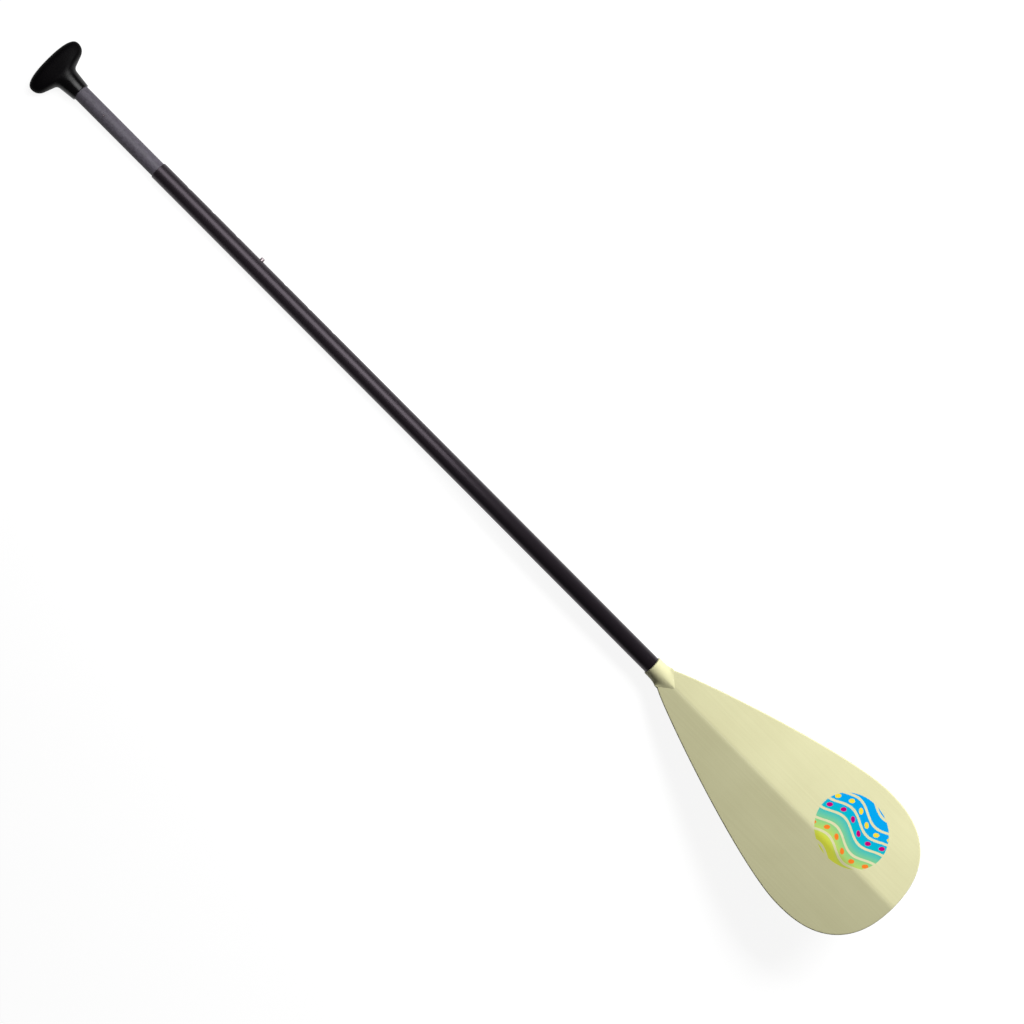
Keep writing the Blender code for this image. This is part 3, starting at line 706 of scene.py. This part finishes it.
def grip_outline():
    """Depth below the crown and half width, from the crown to the rim."""
    half = GRIP_WIDTH / 2
    points = []
    for step in range(1, CROWN_STEPS + 1):
        angle = pi / 2 * step / CROWN_STEPS
        depth = GRIP_CROWN * (1 - cos(angle))
        share = (1 - cos(angle) ** GRIP_SECTION_POWER) ** (1 / GRIP_SECTION_POWER)
        points.append(Vector((depth, half * share)))
    last_angle = pi / 2 - GRIP_UNDERSIDE_ANGLE
    for step in range(1, LOBE_STEPS + 1):
        angle = last_angle * step / LOBE_STEPS
        depth = GRIP_CROWN + GRIP_LOBE_RADIUS * sin(angle)
        points.append(Vector((depth, half - GRIP_LOBE_RADIUS * (1 - cos(angle)))))
    lobe_end = points[-1]
    stem_half = GRIP_STEM_WIDTH / 2
    corner = Vector((lobe_end.x + (lobe_end.y - stem_half) * tan(GRIP_UNDERSIDE_ANGLE), stem_half))
    rim = Vector((GRIP_HEIGHT, GRIP_RIM))
    before = corner + (lobe_end - corner).normalized() * GRIP_EASE
    after = corner + (rim - corner).normalized() * GRIP_EASE
    points += [lobe_end.lerp(before, t) for t in (0.25, 0.5, 0.75)]
    points += bend(before, corner, after, EASE_STEPS)
    lip = rim - Vector((GRIP_RIM_ROUND, 0))
    points += [after.lerp(lip, t / STEM_STEPS) for t in range(1, STEM_STEPS)]
    points += bend(lip, rim, rim - Vector((0, GRIP_RIM_ROUND)), LIP_STEPS)
    return points


# %% Palm grip
GRIP_SIDES = 144
SEAT_CLEARANCE = 0.0003
SPIGOT_RADIUS = UPPER_RADIUS - TUBE_WALL - SEAT_CLEARANCE
SPIGOT_CHAMFER = 0.001


def oval(x, half_width, half_thickness, power):
    """A closed section that is round where power is 2 and squarer above it."""
    ring = []
    for angle in angles_round(GRIP_SIDES):
        side = copysign(abs(cos(angle)) ** (2 / power), cos(angle))
        height = copysign(abs(sin(angle)) ** (2 / power), sin(angle))
        ring.append(Vector((x, half_width * side, AXIS_Z + half_thickness * height)))
    return ring


def grip_rings():
    rings = []
    for depth, half_width in grip_outline():
        share = (half_width - GRIP_RIM) / (GRIP_WIDTH / 2 - GRIP_RIM)
        power = 2 + (GRIP_SECTION_POWER - 2) * max(0.0, share)
        if depth < GRIP_CROWN:
            half_thickness = GRIP_BACK * half_width / (GRIP_WIDTH / 2)
        else:
            half_thickness = min(GRIP_BACK, half_width)
        rings.append(oval(grip_low.x + depth, half_width, half_thickness, power))
    spigot_start = (grip_low.x + GRIP_HEIGHT, SPIGOT_RADIUS)
    chamfer = (grip_high.x - SPIGOT_CHAMFER, SPIGOT_RADIUS), (grip_high.x, SPIGOT_RADIUS - SPIGOT_CHAMFER)
    return rings + [oval(x, radius, radius, 2) for x, radius in (spigot_start, *chamfer)]


grip = make_piece("palm_grip_moulding", skin(grip_rings()), grip_plastic)
pin_hole_depth = 2 * (AXIS_Z + UPPER_RADIUS - pin_low.z + SEAT_CLEARANCE)
drill(grip, PIN_HOLE, PIN_HOLE_RADIUS, pin_hole_depth, TOWARD_Z)
bake_modifiers(grip)
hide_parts("palm_grip")
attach(grip, "upper_paddle")

# %% [markdown]
# ## Blade plate
# The blade is a thin plate in two flat halves that meet on a soft ridge, like a very open roof. Its
# outline leaves the neck at a slant, swells to its widest near the end, and closes in a blunt
# round end. Each flank is one Bezier curve, and the end is a blunt arc with its own formula. The same
# outline, drawn a little smaller at a few depths through the plate, gives the rounded rim.

# %% Sizes of the blade
NECK_STEP = 0.0020
NECK_LENGTH = 0.0488
BLADE_LENGTH = 0.4692  # a hair short, so that the rounded end stays in the plain model's box
BLADE_WIDTH = blade_high.y - blade_low.y
BLADE_WIDEST = 0.3437
BLADE_FLANK_LEAD = 0.0864
BLADE_END_POWER = 2.46
BLADE_THICKNESS = 0.004
BLADE_EDGE_ROUND = 0.0017
BLADE_CANT = radians(10)
BLADE_DIHEDRAL = radians(7.5)
RIDGE_HALF_WIDTH = 0.005
RIDGE_KEEP_OUT = 1.1 * RIDGE_HALF_WIDTH
THROAT_SETBACK = 0.0235
THROAT_HALF_WIDTH = 0.0195
ROOT_HALF_WIDTH = 0.0180
ROOT_OVERLAP = 0.0020
ROOT_SLOPE = 1.105
ROOT_HANDLE = (-0.0037, 0.0315)

NECK_RADIUS = LOWER_RADIUS + NECK_STEP
CREASE_X = lower_high.x + NECK_LENGTH
RIDGE_STEPS = 24
FLANK_STEPS = 90
END_STEPS = 70
RIM_STEPS = 7
FLAT_MARGIN = 0.0012

ridge_strips = [RIDGE_HALF_WIDTH * (1 - 2 * i / RIDGE_STEPS) for i in range(RIDGE_STEPS + 1)]
print("Blade", round(BLADE_LENGTH, 3), "by", round(BLADE_WIDTH, 4), "crease at", round(CREASE_X, 4))


# %% Outline and roof of the plate
def root_x(y):
    """The plate's root is a V too, and lies just inside the V of the throat."""
    return -abs(y) * ROOT_SLOPE - ROOT_OVERLAP


def blade_side():
    """One side of the outline, from the root inside the neck to the start of the ridge strips."""
    half = BLADE_WIDTH / 2
    root = Vector((root_x(ROOT_HALF_WIDTH), ROOT_HALF_WIDTH))
    arriving = Vector((BLADE_WIDEST - BLADE_FLANK_LEAD, half))
    widest = Vector((BLADE_WIDEST, half))
    points = interpolate_bezier(root, Vector(ROOT_HANDLE), arriving, widest, FLANK_STEPS + 1)
    reach = BLADE_LENGTH - BLADE_WIDEST
    for step in range(1, END_STEPS):
        angle = pi / 2 * step / END_STEPS
        width = half * cos(angle) ** (2 / BLADE_END_POWER)
        if width > RIDGE_KEEP_OUT:
            points.append(Vector((BLADE_WIDEST + reach * sin(angle) ** (2 / BLADE_END_POWER), width)))
    return points


def end_reach(y):
    """How far the rounded end reaches at a distance y from the ridge."""
    share = (1 - abs(2 * y / BLADE_WIDTH) ** BLADE_END_POWER) ** (1 / BLADE_END_POWER)
    return BLADE_WIDEST + (BLADE_LENGTH - BLADE_WIDEST) * share


def roof_drop(y):
    """Depth below the ridge: a soft crown in the middle, then two flats."""
    y = abs(y)
    slope = tan(BLADE_DIHEDRAL)
    if y >= RIDGE_HALF_WIDTH:
        return slope * (y - RIDGE_HALF_WIDTH / 2)
    return slope * y * y / RIDGE_HALF_WIDTH / 2


# %% Plate with a rounded rim
def rim_and_normals():
    side = blade_side()
    end = [Vector((end_reach(y), y)) for y in ridge_strips]
    points = side + end + [Vector((p.x, -p.y)) for p in reversed(side)]
    inward = []
    for i in range(len(points)):
        run = points[min(i + 1, len(points) - 1)] - points[max(i - 1, 0)]
        inward.append(Vector((run.y, -run.x)).normalized())
    return points, inward


def plate_levels():
    """Inset and depth of each ring, from the front face round the rim to the back face."""
    corner = [(BLADE_EDGE_ROUND + FLAT_MARGIN, 0.0)]
    for step in range(RIM_STEPS + 1):
        angle = pi / 2 * step / RIM_STEPS
        corner.append((BLADE_EDGE_ROUND * (1 - sin(angle)), BLADE_EDGE_ROUND * (1 - cos(angle))))
    return corner + [(inset, BLADE_THICKNESS - sink) for inset, sink in reversed(corner)]


def close_face(mesh, ring, front):
    """Two flats and the strips of the ridge between them."""
    count = len(ridge_strips)
    side = (len(ring) - 2 * count) // 2
    end = ring[side : side + count]
    root = ring[len(ring) - count :][::-1]
    faces = [[root[0], *ring[: side + 1]], ring[side + count - 1 : len(ring) - count + 1]]
    faces += [[root[i + 1], root[i], end[i], end[i + 1]] for i in range(count - 1)]
    for corners in faces:
        mesh.faces.new(corners if front else corners[::-1])


def make_plate_mesh():
    points, inward = rim_and_normals()
    root = [Vector((root_x(y), y)) for y in reversed(ridge_strips)]
    mesh = bmesh.new()
    rings = []
    for inset, sink in plate_levels():
        drawn = [point + normal * inset for point, normal in zip(points, inward)] + root
        rings.append([mesh.verts.new((p.x, p.y, -roof_drop(p.y) - sink)) for p in drawn])
    for near, far in zip(rings, rings[1:]):
        for i in range(len(near)):
            j = (i + 1) % len(near)
            mesh.faces.new((near[j], near[i], far[i], far[j]))
    close_face(mesh, rings[0], True)
    close_face(mesh, rings[-1], False)
    place = Matrix.Translation((CREASE_X, 0, AXIS_Z + NECK_RADIUS)) @ Matrix.Rotation(-BLADE_CANT, 4, "Y")
    mesh.transform(place)
    return mesh


# %% [markdown]
# ## Neck and throat
# The neck is the round socket where the blade meets the shaft. Its end is the throat: on the ridged
# face the skin of the socket stops along a V, and from there the two flats take over. A plain
# cylinder would meet the flats along a curve, so here each line of the skin runs from the circle
# at the shaft to its own point on the V. It stays round for most of the way and flares only at
# the end, as a moulded socket does.

# %% Skin of the neck
NECK_CHAMFER = 0.0008
THROAT_LIP = 0.00015
THROAT_LIP_POWER = 4
THROAT_DIVE = 0.0012
FLARE_POWER_Y = 4
FLARE_POWER_Z = 3
NECK_SIDES = 120
THROAT_STEPS = 16
SPINE_STEPS = 80

NECK_START_X = lower_high.x + SEAT_CLEARANCE


def plate_middle(x, y):
    """Height of the plate's middle layer above the shaft's axis."""
    front = NECK_RADIUS + (x - CREASE_X) * tan(BLADE_CANT) - roof_drop(y) / cos(BLADE_CANT)
    return front - BLADE_THICKNESS / 2


def throat_x(angle):
    """Where the neck ends round its section: along a V on the ridged face, straight underneath."""
    share = abs(cos(angle)) if sin(angle) > 0 else 1
    return CREASE_X - THROAT_SETBACK * share


def neck_point(share, angle):
    """Skin of the neck, from a circle where share is 0 to the V of the throat where it is 1."""
    start = NECK_START_X + NECK_CHAMFER
    end = throat_x(angle)
    round_y = NECK_RADIUS * cos(angle)
    round_z = NECK_RADIUS * sin(angle)
    throat_y = THROAT_HALF_WIDTH * cos(angle)
    if sin(angle) > 0:
        cover = (BLADE_THICKNESS / 2 + THROAT_LIP) * (1 - (1 - sin(angle)) ** THROAT_LIP_POWER)
        throat_z = plate_middle(end, throat_y) + cover
    else:
        side = plate_middle(end, THROAT_HALF_WIDTH)
        throat_z = side + (side + NECK_RADIUS) * sin(angle)
    y = round_y + (throat_y - round_y) * share**FLARE_POWER_Y
    z = round_z + (throat_z - round_z) * share**FLARE_POWER_Z
    return Vector((start + (end - start) * share, y, AXIS_Z + z))


# %% [markdown]
# ## Spine
# On the back the neck runs on as a spine that stiffens the plate and fades out. Its upper half is
# hidden in the plate. Below, a round belly turns little by little into a bell shape, so that the
# spine leaves the plate without a corner.

# %% Skin of the spine
SPINE_LENGTH = 0.300
SPINE_BLEND = 0.080
SPINE_END_HALF_WIDTH = 0.009
SPINE_END_SINK = 0.0005


def spine_keel(x):
    """Height of the spine's lowest line: level under the neck, then eased onto the plate's back."""
    t = max(0.0, (x - CREASE_X) / SPINE_LENGTH)
    end_height = plate_middle(CREASE_X + SPINE_LENGTH, 0) - BLADE_THICKNESS / 2 + SPINE_END_SINK
    start_share = (1 - t) ** 2 * (1 + 2 * t)
    end_slope = tan(BLADE_CANT) * SPINE_LENGTH
    return -NECK_RADIUS * start_share + end_height * (1 - start_share) + end_slope * t * t * (t - 1)


def spine_point(share, angle):
    """Skin of the spine: hidden in the plate above, and a belly that turns into a bell below."""
    start = throat_x(angle) + THROAT_DIVE
    x = start + (CREASE_X + SPINE_LENGTH - start) * share
    ahead = x - CREASE_X + THROAT_SETBACK
    narrowing = (SPINE_END_HALF_WIDTH - THROAT_HALF_WIDTH) * ahead / (SPINE_LENGTH + THROAT_SETBACK)
    half = THROAT_HALF_WIDTH + narrowing
    y = half * cos(angle)
    middle = plate_middle(x, y)
    if sin(angle) > 0:
        return Vector((x, y, AXIS_Z + middle + BLADE_THICKNESS / 4 * sin(angle)))
    side = plate_middle(x, half)
    keel = spine_keel(x)
    belly = side + (side - keel) * sin(angle)
    bell = middle - (plate_middle(x, 0) - keel) * cos(pi / 2 * cos(angle)) ** 2
    blend = min(1, ahead / (SPINE_BLEND + THROAT_SETBACK))
    return Vector((x, y, AXIS_Z + belly + (bell - belly) * blend * blend * (3 - 2 * blend)))


# %% Blade in one moulding
FRONT_FACING = 0.9
OUTSIDE_PRINT = (9.0, 9.0)


def make_neck_mesh():
    spigot = LOWER_RADIUS - TUBE_WALL - SEAT_CLEARANCE
    profile = [
        (blade_low.x, spigot - SPIGOT_CHAMFER),
        (blade_low.x + SPIGOT_CHAMFER, spigot),
        (NECK_START_X, spigot),
        (NECK_START_X, NECK_RADIUS - NECK_CHAMFER),
        (NECK_START_X + NECK_CHAMFER, NECK_RADIUS),
    ]
    angles = angles_round(NECK_SIDES)
    rings = [[Vector((x, r * cos(a), AXIS_Z + r * sin(a))) for a in angles] for x, r in profile]
    rings += [[neck_point(i / THROAT_STEPS, a) for a in angles] for i in range(1, THROAT_STEPS + 1)]
    rings += [[spine_point(i / SPINE_STEPS, a) for a in angles] for i in range(SPINE_STEPS + 1)]
    return skin(rings)


def crease_where_they_meet(data):
    """Keep the line between plate and neck crisp, and give both the same finish."""
    owners = {}
    for face in data.polygons:
        for key in face.edge_keys:
            owners.setdefault(key, []).append(face.material_index)
    data.shade_smooth()
    data.set_sharp_from_angle(angle=SHARP_ANGLE)
    for edge in data.edges:
        if len(set(owners.get(edge.key, []))) > 1:
            edge.use_edge_sharp = True
    for face in data.polygons:
        face.material_index = 0


def map_print(data):
    """A UV map in which only the ridged face has a place in the field of the print."""
    layer = data.uv_layers.new(name=PRINT_MAP)
    for face in data.polygons:
        for corner in face.loop_indices:
            if face.normal.z > FRONT_FACING:
                point = data.vertices[data.loops[corner].vertex_index].co
                spot = point.xy - PRINT_CENTRE
                layer.uv[corner].vector = (spot.x / PRINT_HALF_SIZE.x, spot.y / PRINT_HALF_SIZE.y)
            else:
                layer.uv[corner].vector = OUTSIDE_PRINT


neck_finish = cream_plastic.copy()
neck_finish.name = "neck marker"
blade = make_piece("blade_moulding", make_plate_mesh(), cream_plastic)
neck = make_piece("neck_core", make_neck_mesh(), neck_finish)
union = blade.modifiers.new("join neck", "BOOLEAN")
union.operation = "UNION"
union.solver = "EXACT"
union.material_mode = "TRANSFER"
union.object = neck
bake_modifiers(blade)
bpy.data.objects.remove(neck)
crease_where_they_meet(blade.data)
blade.data.materials.clear()
blade.data.materials.append(cream_plastic)
bpy.data.materials.remove(neck_finish)
map_print(blade.data)
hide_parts("blade")
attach(blade, "lower_paddle")

# %% [markdown]
# ## Snap button
# The button is turned from rod: a domed shank that stands out of the hole, a flange that stops it
# under the wall, and a thin tail riveted through the spring. It is one profile turned round the Y
# axis. The dome edge is a quarter circle, which is what the thumb feels.

# %% Snap button
BUTTON_RADIUS = 0.00365
BUTTON_ROUND = 0.0016
FLANGE_RADIUS = 0.005
FLANGE_THICKNESS = 0.0015
RIVET_RADIUS = 0.0016
RIVET_HEAD_RADIUS = 0.003
RIVET_HEAD_THICKNESS = 0.001
FLANGE_TOP = sqrt((UPPER_RADIUS - TUBE_WALL) ** 2 - FLANGE_RADIUS**2) - SEAT_CLEARANCE
BUTTON_SIDES = 64
DOME_STEPS = 8


def turned_ring(height, radius):
    """One ring of the button, which is turned round an axis along Y."""
    angles = angles_round(BUTTON_SIDES)
    return [Vector((BUTTON_X + radius * cos(a), height, AXIS_Z + radius * sin(a))) for a in angles]


button_profile = [
    (button_low.y, RIVET_HEAD_RADIUS),
    (button_low.y + RIVET_HEAD_THICKNESS, RIVET_HEAD_RADIUS),
    (button_low.y + RIVET_HEAD_THICKNESS, RIVET_RADIUS),
    (FLANGE_TOP - FLANGE_THICKNESS, RIVET_RADIUS),
    (FLANGE_TOP - FLANGE_THICKNESS, FLANGE_RADIUS),
    (FLANGE_TOP, FLANGE_RADIUS),
    (FLANGE_TOP, BUTTON_RADIUS),
]
for step in range(DOME_STEPS + 1):
    angle = pi / 2 * step / DOME_STEPS
    height = button_high.y - BUTTON_ROUND * (1 - sin(angle))
    button_profile.append((height, BUTTON_RADIUS - BUTTON_ROUND * (1 - cos(angle))))
button_mesh = skin([turned_ring(height, radius) for height, radius in button_profile])
button = make_piece("snap_button_turned", button_mesh, button_metal)
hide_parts("snap_button")
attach(button, "button")

# %% [markdown]
# ## Button spring
# A strip of spring steel is bent into a V inside the upper shaft. One leg lies on the wall, the
# other carries the button, and pressing the button closes the V.

# %% Middle line and section of the strip
STRIP_THICKNESS = 0.001
STRIP_WIDTH = spring_high.z - spring_low.z
STRIP_EDGE = 0.0002
BEND_RADIUS = 0.004
BEND_STEPS = 40
LEG_LENGTH = 0.046
FREE_END = 0.009
LEAF_FLAT = 0.007
RIVET_HOLE_RADIUS = 0.0019


def strip_path():
    """From the free end of the lower leg, round the bend, to the free end of the leaf."""
    low = spring_low.y + STRIP_THICKNESS / 2
    high = spring_high.y - STRIP_THICKNESS / 2
    centre = Vector((BUTTON_X - LEG_LENGTH, low + BEND_RADIUS, AXIS_Z))
    path = [Vector((BUTTON_X + FREE_END, low, AXIS_Z))]
    for step in range(BEND_STEPS + 1):
        angle = -pi / 2 - pi * step / BEND_STEPS
        path.append(centre + BEND_RADIUS * Vector((cos(angle), sin(angle), 0)))
    return path + [Vector((BUTTON_X + x, high, AXIS_Z)) for x in (-LEAF_FLAT, FREE_END)]


def strip_section():
    """Corners of the section as (across the strip, through it), with small bevels."""
    half_width = STRIP_WIDTH / 2
    half = STRIP_THICKNESS / 2
    quarter = [(half_width, half - STRIP_EDGE), (half_width - STRIP_EDGE, half)]
    top = quarter + [(-side, through) for side, through in reversed(quarter)]
    return top + [(-side, -through) for side, through in top]


# %% Bent strip with its rivet hole
def strip_rings():
    path = strip_path()
    rings = []
    for i, point in enumerate(path):
        run = (path[min(i + 1, len(path) - 1)] - path[max(i - 1, 0)]).normalized()
        side = Vector((-run.y, run.x, 0))
        rings.append([point + Vector((0, 0, a)) + side * b for a, b in strip_section()])
    return rings


spring = make_piece("button_spring_strip", skin(strip_rings()), spring_steel)
rivet_hole = (BUTTON_X, spring_high.y - STRIP_THICKNESS / 2, AXIS_Z)
drill(spring, rivet_hole, RIVET_HOLE_RADIUS, 4 * STRIP_THICKNESS, TOWARD_Y)
bake_modifiers(spring)
spring.data.set_sharp_from_angle(angle=SHARP_ANGLE)
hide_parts("button_spring")
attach(spring, "upper_paddle")

height = spring_high.y - spring_low.y
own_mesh(spring)

# %% [markdown]
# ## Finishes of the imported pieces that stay
# The pin and the pieces inside the tubes already have the right shape, so they stay as packed and
# only get their materials.

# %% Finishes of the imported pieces
finishes = {
    "grip_pin": pin_metal,
    "end_plug": black_nylon,
    "lower_seal": seal_rubber,
    "upper_seal": seal_rubber,
    "lower_float": float_foam,
}
for name, material in finishes.items():
    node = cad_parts[name]
    node.data.materials.clear()
    node.data.materials.append(material)
    print(name, "gets", material.name)

# %% [markdown]
# ## Floor and light
# The paddle lies on a plain floor. The floor is white to the camera, and in it the shadow is kept:
# a part of its colour comes from the light that falls on it. To other rays it is an ordinary pale
# floor, so it adds little light from below.

# %% Floor
FLOOR_SIZE = 30.0
FLOOR_GLOW = 0.90
FLOOR_SHADE = 0.20
FLOOR_PALE = 0.30

floor_paint = bpy.data.materials.new("pale floor")
floor_paint.use_nodes = True
floor_paint.node_tree.nodes.clear()
ray_is = shader_node(floor_paint, "LightPath").node.outputs
seen = maths(floor_paint, "MAXIMUM", ray_is["Is Camera Ray"], ray_is["Is Glossy Ray"])
seen = maths(floor_paint, "MAXIMUM", seen, ray_is["Is Transmission Ray"])
paint = mix_colours(floor_paint, seen, grey(FLOOR_PALE), grey(FLOOR_SHADE))
matt = shader_node(floor_paint, "BsdfDiffuse", {"Color": paint})
glow = shader_node(floor_paint, "Emission", {"Strength": maths(floor_paint, "MULTIPLY", seen, FLOOR_GLOW)})
surface = shader_node(floor_paint, "AddShader", {0: matt, 1: glow})
output = floor_paint.node_tree.nodes.new("ShaderNodeOutputMaterial")
connect(floor_paint.node_tree, output, {"Surface": surface})

floor_mesh = bmesh.new()
bmesh.ops.create_grid(floor_mesh, x_segments=1, y_segments=1, size=FLOOR_SIZE / 2)
floor = make_piece("studio_floor", floor_mesh, floor_paint)
print("The floor is", FLOOR_SIZE, "metres wide")

# %% [markdown]
# ## Lamps
# One soft box stands on the side of the holes and shapes the roof of the blade: the near half is
# bright and the far half falls into a half tone. Another hangs over the shafts, from the grip to
# halfway down, and draws the grey line that fades toward the blade. One big lamp would be simpler
# but would light all sides alike. Both have a narrow spread, as the grid of a studio lamp gives,
# which leaves the far sides of the round pieces dark. The world adds an even, weak light.

# %% Lamps and world
BLADE_CENTRE = Vector((0.70, 0.0, 0.06))
BESIDE_BLADE = Vector((0.55, 1.80, 1.25))
SHAFTS = Vector((-0.512, 0.0, AXIS_Z))
OVER_SHAFTS = Vector((-0.512, 0.24, 0.50))
WORLD_STRENGTH = 0.07
WORLD_TINT = (1, 0.98, 0.97, 1)


def soft_box(name, place, target, size, power, spread):
    """A rectangular lamp that faces its target. Power is in watts, spread in degrees."""
    light = bpy.data.lights.new(name, "AREA")
    light.shape = "RECTANGLE"
    light.size, light.size_y = size
    light.energy = power
    light.spread = radians(spread)
    lamp = bpy.data.objects.new(name, light)
    lamp.location = place
    lamp.rotation_euler = (target - lamp.location).to_track_quat("-Z", "Y").to_euler()
    bpy.context.scene.collection.objects.link(lamp)
    return lamp


side_lamp = soft_box("side lamp", BESIDE_BLADE, BLADE_CENTRE, size=(1.4, 1.0), power=27.3, spread=100)
side_lamp.visible_glossy = False
shaft_box = soft_box("shaft box", OVER_SHAFTS, SHAFTS, size=(0.945, 0.45), power=1.65, spread=80)

world = bpy.data.worlds.new("studio")
bpy.context.scene.world = world
world.use_nodes = True
sky = world.node_tree.nodes["Background"]
connect(world.node_tree, sky, {"Strength": WORLD_STRENGTH, "Color": WORLD_TINT})
bpy.context.scene.view_settings.view_transform = "Standard"
print("Lamps:", side_lamp.name, "and", shaft_box.name)
